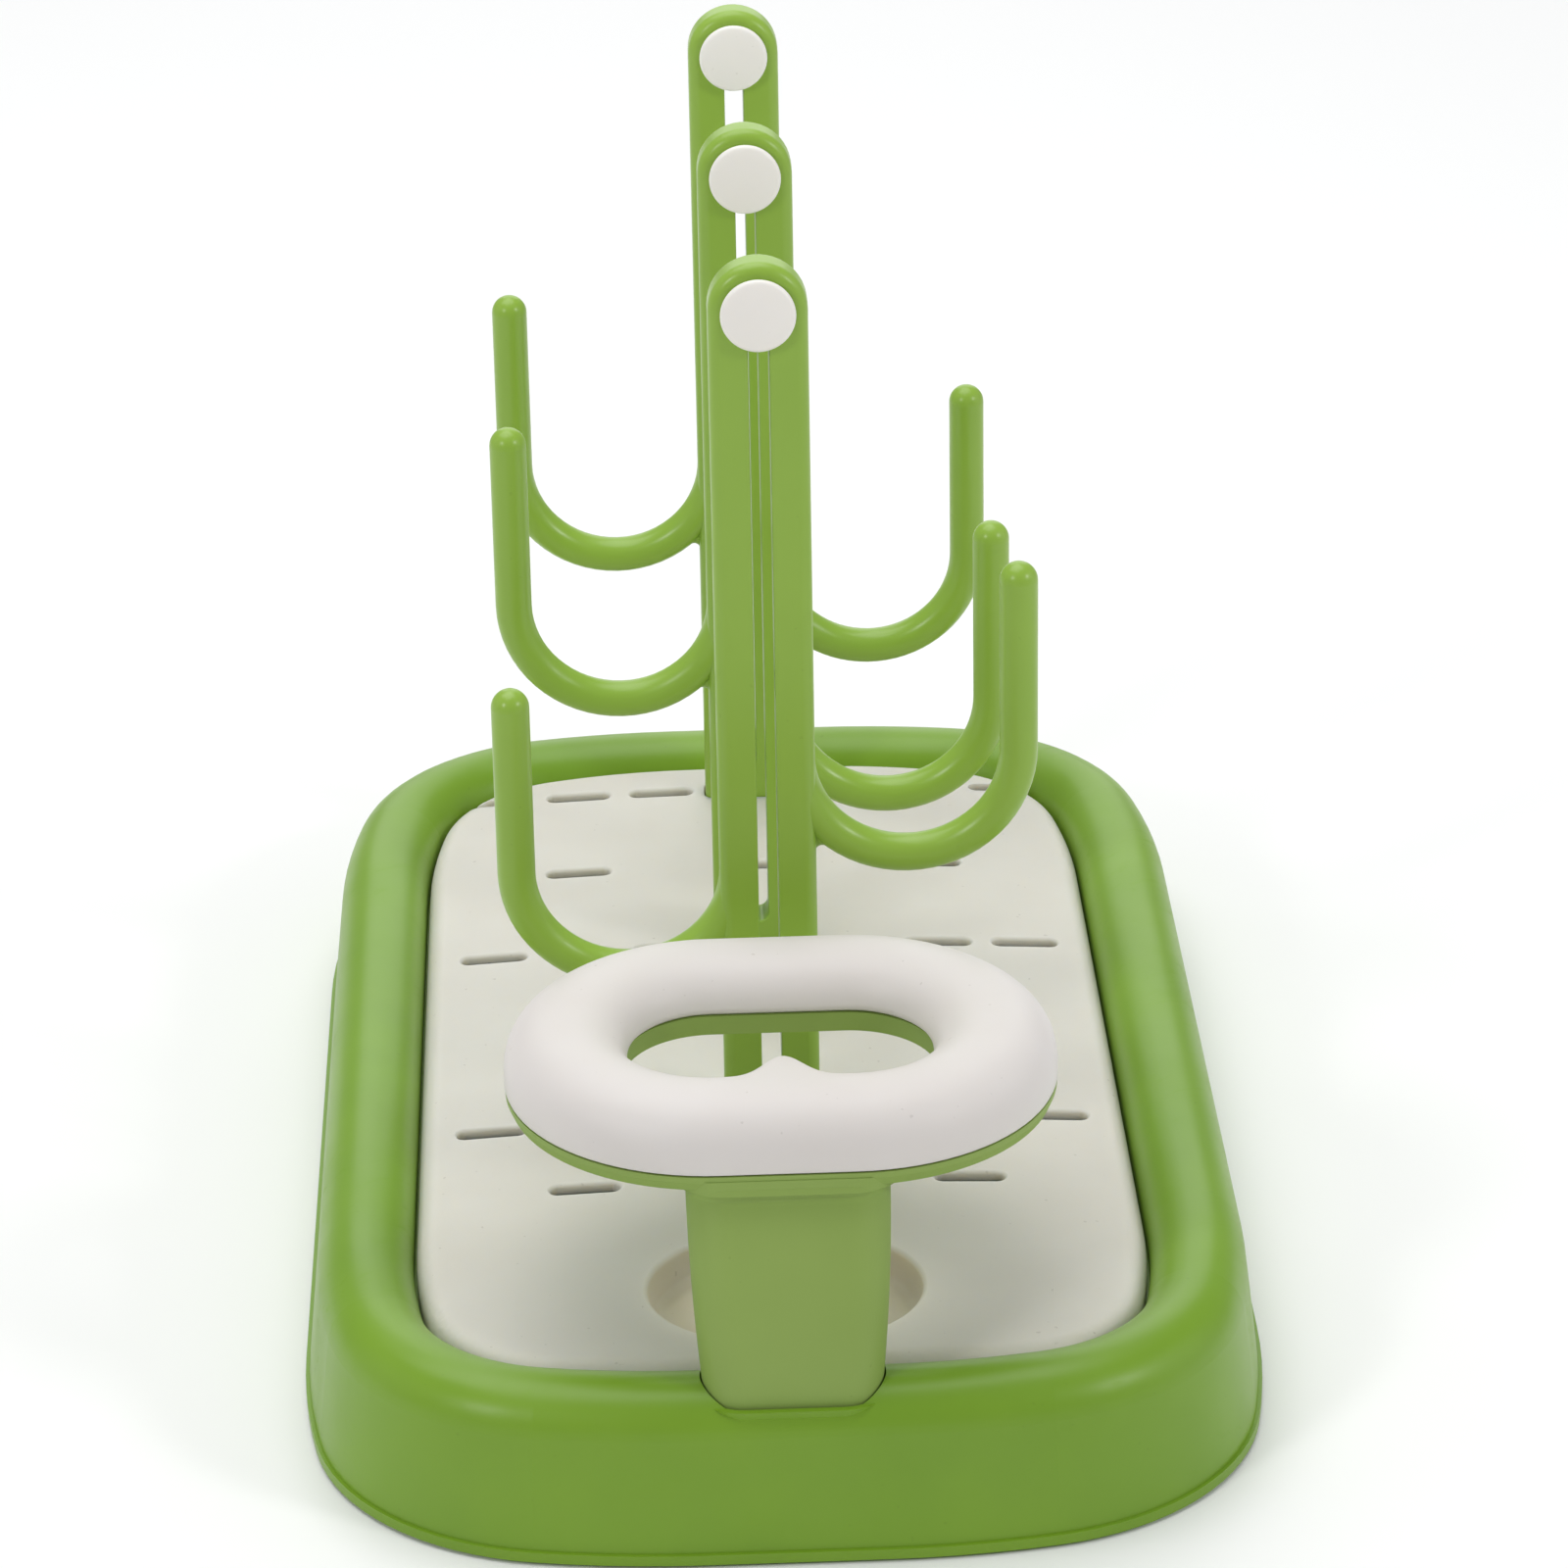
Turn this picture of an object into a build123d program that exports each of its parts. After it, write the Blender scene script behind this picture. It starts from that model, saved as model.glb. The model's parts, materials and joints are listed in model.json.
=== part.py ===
from build123d import *
import math
import os

# Baby bottle drying rack: a drip tray, a crowned drain plate, three two-armed posts and a ring stand.
#
# Frame: millimetres, +Z up, origin on the ground under the middle of the tray.
# The tray's long side runs along Y, the ring stand is at -Y, and the three posts stand in a row on X = 0.

# ---- driving dimensions -------------------------------------------------------------------------
TRAY_WIDTH = 215.6
TRAY_LENGTH = 359.5
TRAY_CORNER = ((200.0, 10.7), (60.0, 68.6), (200.0, 10.7))  # plan arcs of the lip: radius, degrees
WALL = 2.4                  # moulded wall of the tray
FOOT_PROUD = 0.8            # rubber feet stand this far below the lip
LIP_HEIGHT = 2.4
RIM_TOP = 38.6              # crest of the tubular rim
RIM_RADIUS = 10.75          # radius of the rim's rounded top
RIM_INSET = 14.6            # lip edge to the middle of the rim's crest
WALL_DRAFT = 6.8            # degrees, outer wall of the rim
LEDGE_Z = 24.0              # shelf that carries the drain plate
LEDGE_DEPTH = 3.6
FLOOR_Z = 8.0               # top of the tray's floor

PLATE_GAP = 0.7             # plate edge to rim
PLATE_TOP = 35.3            # crown of the plate
PLATE_CROWN_RADIUS = 1200.0
PLATE_WALL = 2.6
PLATE_EDGE = 4.5            # rolled edge of the plate
SLOT_LENGTH = 16.0
SLOT_WIDTH = 4.2
SLOT_COLUMNS = (22.5, 43.9, 65.2)
SHORT_ROW_X = 44.1
PAIR_X = 43.7               # two slots between the front post and the dish
PAIR_Y = -72.7
DISH_LENGTH = 64.0
DISH_WIDTH = 54.0
DISH_Y = -120.8
DISH_DEPTH = 8.0
DISH_DRAFT = 14.0           # degrees, side of the dish
DISH_RIM = 3.4              # the dish's floor is this much smaller all round
DISH_EDGE = 1.2

POST_PITCH = 90.0
POST_MIDDLE_Y = 47.2
POST_TOP = 246.0
POST_WIDTH = 22.0
POST_THICKNESS = 9.4
POST_EDGE = 2.6
POST_SLOT = 4.6
POST_SLOT_EDGE = 0.4
POST_SLOT_END_Z = 46.0      # lower end of the long slot
POST_FOOT_Z = 17.6          # the post's plug reaches down into the plate's socket
ROD_RADIUS = 4.33
HOOK_RADIUS = 25.2          # centre line of each hook's half circle
HOOK_HIGH_Z = 102.3         # lowest point of the high hook's centre line
HOOK_LOW_Z = 75.0
PEG_RISE = 70.5             # hook's lowest centre point to the peg's tip
WEB_NOTCH = 1.4             # radius of the notch under the arm where it leaves the post
WEB_RADIUS = 2.6            # half the thickness of the web round that notch

KNOB_RADIUS = 8.3
KNOB_GAP = 0.8
KNOB_EDGE = 1.5
KNOB_DOME = 0.8

STAND_FOOT_Y = -164.2
STAND_HEAD_Y = -150.3
STAND_FOOT_SIZE = (38.2, 18.4)
STAND_HEAD_SIZE = (43.6, 18.8)
STAND_SEAT_Z = 33.9
STAND_CORNER = 8.6
SEAT_FLARE = 5.5            # degrees, the seat opens upward round the stem
FLARE_RADIUS = 3.4          # the stem spreads into the shell through this fillet
FLARE_STEPS = 6
BROW_HEIGHT = 3.2           # the front of the stem runs this far up the shell
BROW_SINK = 0.05            # keeps the brow just inside the shell's front wall
PLUG_SIZE = (31.0, 11.6)
PLUG_DEPTH = 18.0
PLUG_CORNER = 4.0
COLLAR_OUT = 1.9
COLLAR_LOW = 30.4
COLLAR_TOP = 35.3

RING_CENTRE_Y = -117.3
RING_LINE = (94.0, 66.0)    # centre line of the ring, a rounded rectangle
RING_CORNER = ((32.4, 90.0),)
RING_HALF = 13.0            # half the width of the ring's section
RING_SPLIT_Z = 85.8
RING_TOP = 100.3
RING_SPRING_Z = 88.3        # the half-round top starts here
RING_BOTTOM = 81.2
RING_INNER_EDGE_Z = 89.9
COVER_WALL = 2.2
CUSP_REACH = 12.4
CUSP_HALF = 13.0
CUSP_TOP = 96.6

BASE_SINK = 1.0             # cutters run this far past the surface they open

FOOT_RADIUS = 8.0
FOOT_HEIGHT = 4.0
FOOT_EDGE = 0.5
FOOT_X = 62.0
FOOT_Y = 128.0
CLEAR = 0.3                 # gap between pieces that lift apart

POST_NAMES = ("front", "middle", "rear")


# ---- shared helpers -------------------------------------------------------------------------------
def closed_path(width, length, corner, inset=0.0, centre_y=0.0):
    """Closed path round a rectangle with eased corners, moved in by inset, from the middle of +X."""
    arcs = [(radius - inset, turn) for radius, turn in corner]
    half_x = width / 2 - inset
    half_y = length / 2 - inset
    reach = 0.0
    angle = 0.0
    for radius, turn in arcs:
        reach += radius * (math.sin(math.radians(angle + turn)) - math.sin(math.radians(angle)))
        angle += turn
    point = Vector(half_x, half_y - reach)
    lines = [Line((half_x, 0), point)]
    angle = 0.0
    for run in (half_x, half_y, half_x, half_y):
        for radius, turn in arcs:
            centre = point - Vector(radius, 0).rotate(Axis.Z, angle)
            arc = CenterArc(centre, radius, angle, turn)
            lines.append(arc)
            point = arc @ 1
            angle += turn
        side = Line(point, point + Vector(0, 2 * (run - reach)).rotate(Axis.Z, angle))
        lines.append(side)
        point = side @ 1
    lines[-1] = Line(lines[-1] @ 0, (half_x, 0))
    return Pos(0, centre_y, 0) * Wire(lines)


def ring_sweep(section, width, length, corner, inset=0.0, centre_y=0.0):
    """Carries a section (x outward, y up) round a closed path."""
    start = Plane(origin=(width / 2 - inset, centre_y, 0), x_dir=(1, 0, 0), z_dir=(0, -1, 0))
    return sweep(start * section, path=closed_path(width, length, corner, inset, centre_y))


def tray_slab(inset, low, high):
    """Upright block inside the tray's outline, moved in by inset, between two heights."""
    outline = closed_path(TRAY_WIDTH, TRAY_LENGTH, TRAY_CORNER, inset)
    return Pos(0, 0, low) * extrude(make_face(outline), high - low)


def top_edges(shape, height, tolerance=0.2):
    """Edges that lie wholly at one height."""
    found = []
    for edge in shape.edges():
        box = edge.bounding_box()
        if abs(box.min.Z - height) < tolerance and abs(box.max.Z - height) < tolerance:
            found.append(edge)
    return found


# ---- tray -----------------------------------------------------------------------------------------
def rim_section(shrink, base_z):
    """Filled section of the rim, x measured outward from its crest; shrink gives the hollow inside."""
    centre_z = RIM_TOP - RIM_RADIUS
    radius = RIM_RADIUS - shrink
    draft = math.radians(WALL_DRAFT)
    tangent = (radius * math.cos(draft), centre_z + radius * math.sin(draft))
    lip_z = FOOT_PROUD + LIP_HEIGHT
    wall_foot = (tangent[0] + (tangent[1] - lip_z) * math.tan(draft), lip_z)
    ledge_in = -RIM_RADIUS - LEDGE_DEPTH
    points = [wall_foot]
    if shrink == 0:
        points += [(RIM_INSET, lip_z), (RIM_INSET, base_z), (ledge_in, base_z), (ledge_in, LEDGE_Z)]
        points += [(-radius, LEDGE_Z), (-radius, centre_z)]
    else:
        points += [(wall_foot[0] + (lip_z - base_z) * math.tan(draft), base_z)]
        points += [(ledge_in + shrink, base_z), (ledge_in + shrink, LEDGE_Z - shrink)]
        points += [(-radius, LEDGE_Z - shrink), (-radius, centre_z)]
    outline = Polyline(*points)
    cap = ThreePointArc((-radius, centre_z), (0, centre_z + radius), tangent)
    close = Line(tangent, wall_foot)
    return make_face(Wire([*outline.edges(), cap, close]))


def stand_section(size, grow=0.0):
    """Plan outline of the stand's stem, grown evenly all round."""
    return RectangleRounded(size[0] + 2 * grow, size[1] + 2 * grow, STAND_CORNER + grow)


def plug_section(grow=0.0):
    """Plan outline of the plug under the stem."""
    return RectangleRounded(PLUG_SIZE[0] + 2 * grow, PLUG_SIZE[1] + 2 * grow, PLUG_CORNER + grow)


def make_tray():
    """Drip tray: hollow tubular rim, plate ledge, floor, stand socket with its collar, and foot bosses."""
    lip = (TRAY_WIDTH, TRAY_LENGTH, TRAY_CORNER, RIM_INSET)
    filled = ring_sweep(rim_section(0.0, FOOT_PROUD), *lip)
    hollow = ring_sweep(rim_section(WALL, FOOT_PROUD - BASE_SINK), *lip)
    floor = tray_slab(RIM_INSET + RIM_RADIUS + LEDGE_DEPTH - 1.0, FLOOR_Z - WALL, FLOOR_Z)
    plug_floor = STAND_SEAT_Z - PLUG_DEPTH - CLEAR
    sleeve_low = plug_floor - WALL
    sleeve = Pos(0, STAND_FOOT_Y, sleeve_low) * extrude(plug_section(CLEAR + WALL), RIM_TOP - sleeve_low)
    seat_floor = Pos(0, STAND_FOOT_Y, STAND_SEAT_Z - WALL - CLEAR) * extrude(
        stand_section(STAND_FOOT_SIZE, CLEAR + 1.0), WALL
    )
    collar_height = COLLAR_TOP - COLLAR_LOW
    collar_taper = math.degrees(math.atan(COLLAR_OUT / collar_height))
    collar = Pos(0, STAND_FOOT_Y, COLLAR_LOW) * extrude(
        stand_section(STAND_FOOT_SIZE), collar_height, taper=-collar_taper
    )
    collar -= tray_slab(RIM_INSET + RIM_RADIUS, COLLAR_LOW - BASE_SINK, COLLAR_TOP + BASE_SINK)
    tray = filled - hollow + floor + ((sleeve + seat_floor) & filled) + collar
    seat_height = RIM_TOP - STAND_SEAT_Z + 2 * BASE_SINK
    seat = extrude(stand_section(STAND_FOOT_SIZE, CLEAR), seat_height, taper=-SEAT_FLARE)
    tray -= Pos(0, STAND_FOOT_Y, STAND_SEAT_Z - CLEAR) * seat
    tray -= Pos(0, STAND_FOOT_Y, plug_floor) * extrude(plug_section(CLEAR), 2 * PLUG_DEPTH)
    boss_low = FOOT_PROUD * 2
    for x, y in foot_places():
        tray += Pos(x, y, boss_low) * extrude(Circle(FOOT_RADIUS + 2.0), FLOOR_Z - WALL - boss_low + 0.5)
        tray -= Pos(x, y, 0) * extrude(Circle(FOOT_RADIUS + 0.1), FOOT_HEIGHT)
    return tray


def foot_places():
    """Centres of the four feet."""
    return [(x, y) for y in (-FOOT_Y, FOOT_Y) for x in (-FOOT_X, FOOT_X)]


def make_foot(x, y):
    """Rubber foot pressed up into its boss."""
    foot = extrude(Circle(FOOT_RADIUS), FOOT_HEIGHT)
    foot = fillet(top_edges(foot, 0.0), FOOT_EDGE)
    return Pos(x, y, 0) * foot


# ---- drain plate ----------------------------------------------------------------------------------
def crowned_block(inset, edge):
    """Block with a cylindrical crown and a rolled top edge; inset gives the hollow underside."""
    low = LEDGE_Z + CLEAR
    if inset > 0:
        low -= BASE_SINK
    block = tray_slab(RIM_INSET + RIM_RADIUS + PLATE_GAP + inset, low, PLATE_TOP + PLATE_EDGE)
    crown = PLATE_CROWN_RADIUS - inset
    cylinder = Pos(0, 0, PLATE_TOP - PLATE_CROWN_RADIUS) * (Rot(90, 0, 0) * Cylinder(crown, 2 * TRAY_LENGTH))
    block = block & cylinder
    rolled = [e for e in block.edges() if e.bounding_box().min.Z > LEDGE_Z + 4.0]
    return fillet(rolled, edge)


def slot_places():
    """Centres of the drain slots: full rows beside the posts, short rows between them."""
    places = []
    for step in (-1, 0, 1):
        y = POST_MIDDLE_Y + step * POST_PITCH
        places += [(side * x, y) for side in (-1, 1) for x in SLOT_COLUMNS]
    for y in (POST_MIDDLE_Y - POST_PITCH / 2, POST_MIDDLE_Y + POST_PITCH / 2):
        places += [(x, y) for x in (-SHORT_ROW_X, 0.0, SHORT_ROW_X)]
    places += [(x, PAIR_Y) for x in (-PAIR_X, PAIR_X)]
    return places


def post_section(grow=0.0):
    """Plan outline of a post's foot."""
    return RectangleRounded(POST_WIDTH + 2 * grow, POST_THICKNESS + 2 * grow, POST_EDGE + grow)


def make_plate():
    """Crowned drain plate with slots, an oval dish and three post sockets moulded underneath."""
    plate = crowned_block(0.0, PLATE_EDGE) - crowned_block(PLATE_WALL, PLATE_EDGE - PLATE_WALL)
    dish_floor = PLATE_TOP - DISH_DEPTH
    floor_oval = (DISH_LENGTH / 2 - DISH_RIM, DISH_WIDTH / 2 - DISH_RIM)
    cup_oval = Ellipse(floor_oval[0] + PLATE_WALL + 0.8, floor_oval[1] + PLATE_WALL + 0.8)
    plate += Pos(0, DISH_Y, dish_floor - PLATE_WALL) * extrude(cup_oval, DISH_DEPTH)
    pocket = extrude(Ellipse(*floor_oval), 2 * DISH_DEPTH, taper=-DISH_DRAFT)
    plate -= Pos(0, DISH_Y, dish_floor) * fillet(top_edges(pocket, 0.0), DISH_RIM - 0.4)
    plate = fillet(dish_edges(plate), DISH_EDGE)
    cutter = Pos(0, 0, LEDGE_Z) * extrude(SlotOverall(SLOT_LENGTH, SLOT_WIDTH), PLATE_TOP)
    for x, y in slot_places():
        plate -= Pos(x, y, 0) * cutter
    for step in (-1, 0, 1):
        y = POST_MIDDLE_Y + step * POST_PITCH
        socket_low = POST_FOOT_Z - CLEAR - 2.0
        plate += Pos(0, y, socket_low) * extrude(post_section(CLEAR + 2.0), PLATE_TOP - 1.2 - socket_low)
        plate -= Pos(0, y, POST_FOOT_Z - CLEAR) * extrude(post_section(CLEAR), 2 * PLATE_TOP)
    return plate


def dish_edges(plate):
    """Edges of the dish's mouth on the plate's crown."""
    found = []
    for edge in plate.edges():
        box = edge.bounding_box()
        near = abs(box.center().Y - DISH_Y) < DISH_WIDTH and abs(box.center().X) < DISH_LENGTH / 2
        if near and box.min.Z > PLATE_TOP - 1.5:
            found.append(edge)
    return found


# ---- posts ----------------------------------------------------------------------------------------
def make_hook(side, low_z):
    """One arm: half circle off the post's leg, upright peg and round tip, in the XZ plane."""
    start_x = side * (POST_WIDTH / 2 - ROD_RADIUS)
    end_x = start_x + side * 2 * HOOK_RADIUS
    arc_z = low_z + HOOK_RADIUS
    tip_z = low_z + PEG_RISE - ROD_RADIUS
    with BuildLine(Plane.XZ) as route:
        Line((start_x, arc_z + 6), (start_x, arc_z))
        ThreePointArc((start_x, arc_z), ((start_x + end_x) / 2, low_z), (end_x, arc_z))
        Line((end_x, arc_z), (end_x, tip_z))
    section = Plane(origin=(start_x, 0, arc_z + 6), z_dir=(0, 0, -1)) * Circle(ROD_RADIUS)
    rod = sweep(section, path=route.wire())
    return rod + Pos(end_x, 0, tip_z) * Sphere(ROD_RADIUS)


def make_web(side, low_z):
    """Round web that softens the notch under the arm where it leaves the post."""
    centre_x = side * (POST_WIDTH / 2 - ROD_RADIUS + HOOK_RADIUS)
    notch_x = side * (POST_WIDTH / 2 + WEB_NOTCH)
    across = abs(centre_x - notch_x)
    rise = math.sqrt((HOOK_RADIUS + ROD_RADIUS + WEB_NOTCH) ** 2 - across**2)
    notch = (notch_x, low_z + HOOK_RADIUS - rise)
    bend = WEB_NOTCH + WEB_RADIUS
    angles = [math.pi, 0.5 * (math.pi + math.atan2(rise, across)), math.atan2(rise, across)]
    bends = [(notch[0] + side * bend * math.cos(a), notch[1] + bend * math.sin(a)) for a in angles]
    with BuildLine(Plane.XZ) as route:
        ThreePointArc(*bends)
    section = Plane(origin=(bends[0][0], 0, bends[0][1]), z_dir=(0, 0, 1)) * Circle(WEB_RADIUS)
    return sweep(section, path=route.wire())


def make_post():
    """Post moulding at Y = 0: slotted upright with a high hook towards -X and a low hook towards +X."""
    half = POST_WIDTH / 2
    length = POST_TOP - POST_FOOT_Z
    upright = Pos(0, 0, POST_TOP - half) * (Rot(90, 0, 0) * Cylinder(half, POST_THICKNESS))
    upright += Pos(0, 0, POST_FOOT_Z + (length - half) / 2) * Box(POST_WIDTH, POST_THICKNESS, length - half)
    upright = fillet(upright.edges().filter_by(lambda e: e.bounding_box().size.Y < 0.1), POST_EDGE)
    slot_top = POST_TOP - half
    slot_length = slot_top - POST_SLOT_END_Z + POST_SLOT
    slot_middle = (slot_top + POST_SLOT_END_Z) / 2
    slot = extrude(Rot(0, 0, 90) * SlotOverall(slot_length, POST_SLOT), POST_THICKNESS, both=True)
    upright -= Pos(0, 0, slot_middle) * (Rot(90, 0, 0) * slot)
    face = POST_THICKNESS / 2
    rims = [e for e in upright.edges() if abs(abs(e.center().Y) - face) < 0.01 and abs(e.center().X) < 4.0]
    rims = [e for e in rims if e.bounding_box().size.Y < 0.01 and e.center().Z < slot_top + POST_SLOT]
    post = fillet(rims, POST_SLOT_EDGE)
    for side, low_z in ((-1, HOOK_HIGH_Z), (1, HOOK_LOW_Z)):
        post += make_hook(side, low_z)
        post += make_web(side, low_z)
    return post


def make_cap(pin_radius, pin_reach, bore_radius):
    """One white cap standing on a post's face at Z = 0: pin down the slot, spacer, domed disc."""
    disc_low = KNOB_GAP
    disc_top = KNOB_GAP + KNOB_EDGE + KNOB_DOME
    dome_radius = (KNOB_RADIUS**2 + KNOB_DOME**2) / (2 * KNOB_DOME)
    disc = Pos(0, 0, disc_low) * extrude(Circle(KNOB_RADIUS), disc_top - disc_low + 1)
    disc = disc & (Pos(0, 0, disc_top - dome_radius) * Sphere(dome_radius))
    disc = fillet([e for e in disc.edges().filter_by(GeomType.CIRCLE) if e.radius > 8.0], 0.45)
    spacer = extrude(Circle(5.0), disc_low + 0.4)
    pin = Pos(0, 0, -pin_reach) * extrude(Circle(pin_radius), pin_reach + 0.4)
    cap = disc + spacer + pin
    if bore_radius > 0:
        cap -= Pos(0, 0, -pin_reach) * extrude(Circle(bore_radius), pin_reach)
    return cap


def make_knobs():
    """Front and back caps of a post, meeting through the top of its slot."""
    face = POST_THICKNESS / 2
    height = POST_TOP - POST_WIDTH / 2
    front = make_cap(2.1, face - 0.1, 1.25)
    back = make_cap(1.15, 2 * face - 1.0, 0.0)
    front = Pos(0, -face, height) * (Rot(90, 0, 0) * front)
    back = Pos(0, face, height) * (Rot(-90, 0, 0) * back)
    return front, back


# ---- stand and ring cover -------------------------------------------------------------------------
def ring_place(section):
    """Carries a section round the ring's centre line."""
    return ring_sweep(section, RING_LINE[0], RING_LINE[1], RING_CORNER, centre_y=RING_CENTRE_Y)


def stem_station(z, grow=0.0):
    """Plan outline of the stem at a height; the stem leans back and widens as it rises."""
    t = (z - STAND_SEAT_Z) / (RING_BOTTOM + 1.6 - STAND_SEAT_Z)
    y = STAND_FOOT_Y + (STAND_HEAD_Y - STAND_FOOT_Y) * t * t
    width = STAND_FOOT_SIZE[0] + (STAND_HEAD_SIZE[0] - STAND_FOOT_SIZE[0]) * math.sin(t * math.pi / 2)
    depth = STAND_FOOT_SIZE[1] + (STAND_HEAD_SIZE[1] - STAND_FOOT_SIZE[1]) * t
    return Pos(0, y, z) * stand_section((width, depth), grow)


def make_stand():
    """Green stand: plug, curved stem and the trough-shaped ring shell on top, one moulding."""
    out = RING_HALF - 0.2
    wall = COVER_WALL
    tongue = RING_HALF - COVER_WALL - CLEAR
    low = RING_BOTTOM
    points = [(out - 3.0, low), (out - 0.9, low + 0.9), (out, low + 3.0), (out, RING_SPLIT_Z - CLEAR)]
    points += [(tongue, RING_SPLIT_Z - CLEAR), (tongue, RING_SPLIT_Z + 3.2)]
    points += [(tongue - 1.4, RING_SPLIT_Z + 3.2), (tongue - 1.4, low + wall + 1.0)]
    points += [(tongue - 2.4, low + wall)]
    points += [(-3.0, low + wall), (2.3 - tongue, low + wall + 3.0), (2.3 - tongue, RING_INNER_EDGE_Z + 1.6)]
    points += [(0.9 - tongue, RING_INNER_EDGE_Z + 1.6), (0.9 - tongue, RING_INNER_EDGE_Z - CLEAR)]
    points += [(-out, RING_INNER_EDGE_Z - CLEAR), (-out, low + 4.0), (-3.4, low)]
    shell = ring_place(make_face(Polyline(*points, close=True)))
    plain_top = RING_BOTTOM - FLARE_RADIUS
    stem = loft([stem_station(STAND_SEAT_Z + (plain_top - STAND_SEAT_Z) * step / 4) for step in range(5)])
    flare = []
    for step in range(FLARE_STEPS + 1):
        turn = math.radians(90 * step / FLARE_STEPS)
        z = plain_top + FLARE_RADIUS * math.sin(turn)
        flare.append(stem_station(z, FLARE_RADIUS * (1 - math.cos(turn))))
    flare.append(stem_station(RING_BOTTOM + 1.6, FLARE_RADIUS))
    stem += loft(flare, ruled=True)
    brow = Pos(0, 0, BROW_HEIGHT / 2) * stem_station(RING_BOTTOM, FLARE_RADIUS - BROW_SINK)
    brow = extrude(brow, BROW_HEIGHT / 2, both=True)
    brow &= Pos(0, RING_CENTRE_Y - RING_LINE[1] / 2, 0) * Box(
        STAND_HEAD_SIZE[0], RING_HALF, 3 * RING_TOP, align=(Align.CENTER, Align.MAX, Align.CENTER)
    )
    plug = Pos(0, STAND_FOOT_Y, STAND_SEAT_Z - PLUG_DEPTH) * extrude(plug_section(), PLUG_DEPTH + 2.0)
    stand = shell + stem + brow + plug
    near_edge_y = RING_CENTRE_Y - RING_LINE[1] / 2 + RING_HALF
    cusp_room = Box(2 * CUSP_HALF + 2.0, 14.0, 8.0, align=(Align.CENTER, Align.CENTER, Align.MIN))
    return stand - Pos(0, near_edge_y - 3.0, RING_INNER_EDGE_Z - CLEAR) * cusp_room


def dome_section(shrink):
    """Half-round section of the ring cover, x outward from the ring's centre line."""
    half = RING_HALF - shrink
    top = RING_TOP - shrink
    spring_z = RING_SPRING_Z
    radius = top - spring_z
    flat = half - radius
    low = RING_SPLIT_Z - shrink
    inner_low = RING_INNER_EDGE_Z - shrink
    turn = math.sqrt(0.5) * radius
    inner_x = -flat - math.sqrt(radius**2 - (inner_low - spring_z) ** 2) if inner_low > spring_z else -half
    start_in = (inner_x, max(inner_low, spring_z))
    lines = [Line((-flat, top), (flat, top))]
    lines.append(ThreePointArc((flat, top), (flat + turn, spring_z + turn), (half, spring_z)))
    lines.append(Line((half, spring_z), (half, low)))
    lines.append(Line((half, low), (inner_x, low)))
    lines.append(Line((inner_x, low), start_in))
    lines.append(ThreePointArc(start_in, (-flat - turn, spring_z + turn), (-flat, top)))
    return make_face(Wire(lines))


def make_ring_cover():
    """White ring cover: fat half-round shell with a cusp on the near side of its hole."""
    cover = ring_place(dome_section(0.0)) - ring_place(dome_section(COVER_WALL))
    inner_band = Pos(-RING_HALF, RING_SPLIT_Z) * Rectangle(7.0, 2 * (RING_INNER_EDGE_Z - RING_SPLIT_Z))
    cover -= ring_place(inner_band)
    base_y = RING_CENTRE_Y - RING_LINE[1] / 2 + RING_HALF
    tip_y = base_y + CUSP_REACH
    left = (-CUSP_HALF, base_y - 2.5)
    right = (CUSP_HALF, base_y - 2.5)
    back_y = base_y - 5.0
    shoulder = (0.4 * CUSP_HALF, base_y + 2.8)
    curve = [left, (-shoulder[0], shoulder[1]), (0, tip_y - 3.4), shoulder, right]
    lines = [Spline(*curve, tangents=((1, 0), (1, 0)))]
    lines.append(Polyline(right, (CUSP_HALF, back_y), (-CUSP_HALF, back_y), left))
    cusp = extrude(make_face(lines), CUSP_TOP - RING_INNER_EDGE_Z)
    return cover + Pos(0, 0, RING_INNER_EDGE_Z) * cusp


# ---- build and write ------------------------------------------------------------------------------
def main():
    nodes = {"tray": make_tray(), "drain_plate": make_plate()}
    corner_names = ("front_left", "front_right", "rear_left", "rear_right")
    for name, (x, y) in zip(corner_names, foot_places()):
        nodes[f"foot_{name}"] = make_foot(x, y)
    post = make_post()
    knob_front, knob_back = make_knobs()
    for index, name in enumerate(POST_NAMES):
        y = POST_MIDDLE_Y + (index - 1) * POST_PITCH
        turned = Rot(0, 0, 180) if name == "front" else Rot(0, 0, 0)
        nodes[f"post_{name}"] = Pos(0, y, 0) * (turned * post)
        nodes[f"knob_{name}_face"] = Pos(0, y, 0) * knob_front
        nodes[f"knob_{name}_back"] = Pos(0, y, 0) * knob_back
    nodes["stand"] = make_stand()
    nodes["ring_cover"] = make_ring_cover()
    os.makedirs("parts", exist_ok=True)
    for name, shape in nodes.items():
        export_step(shape, f"parts/{name}.step")
        print(f"{name}: {len(shape.solids())} solid, {shape.volume / 1000:.2f} cm3")


main()
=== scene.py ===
# %% Frame
import bmesh
import bpy
import json
import math
from mathutils import Matrix, Vector


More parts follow.
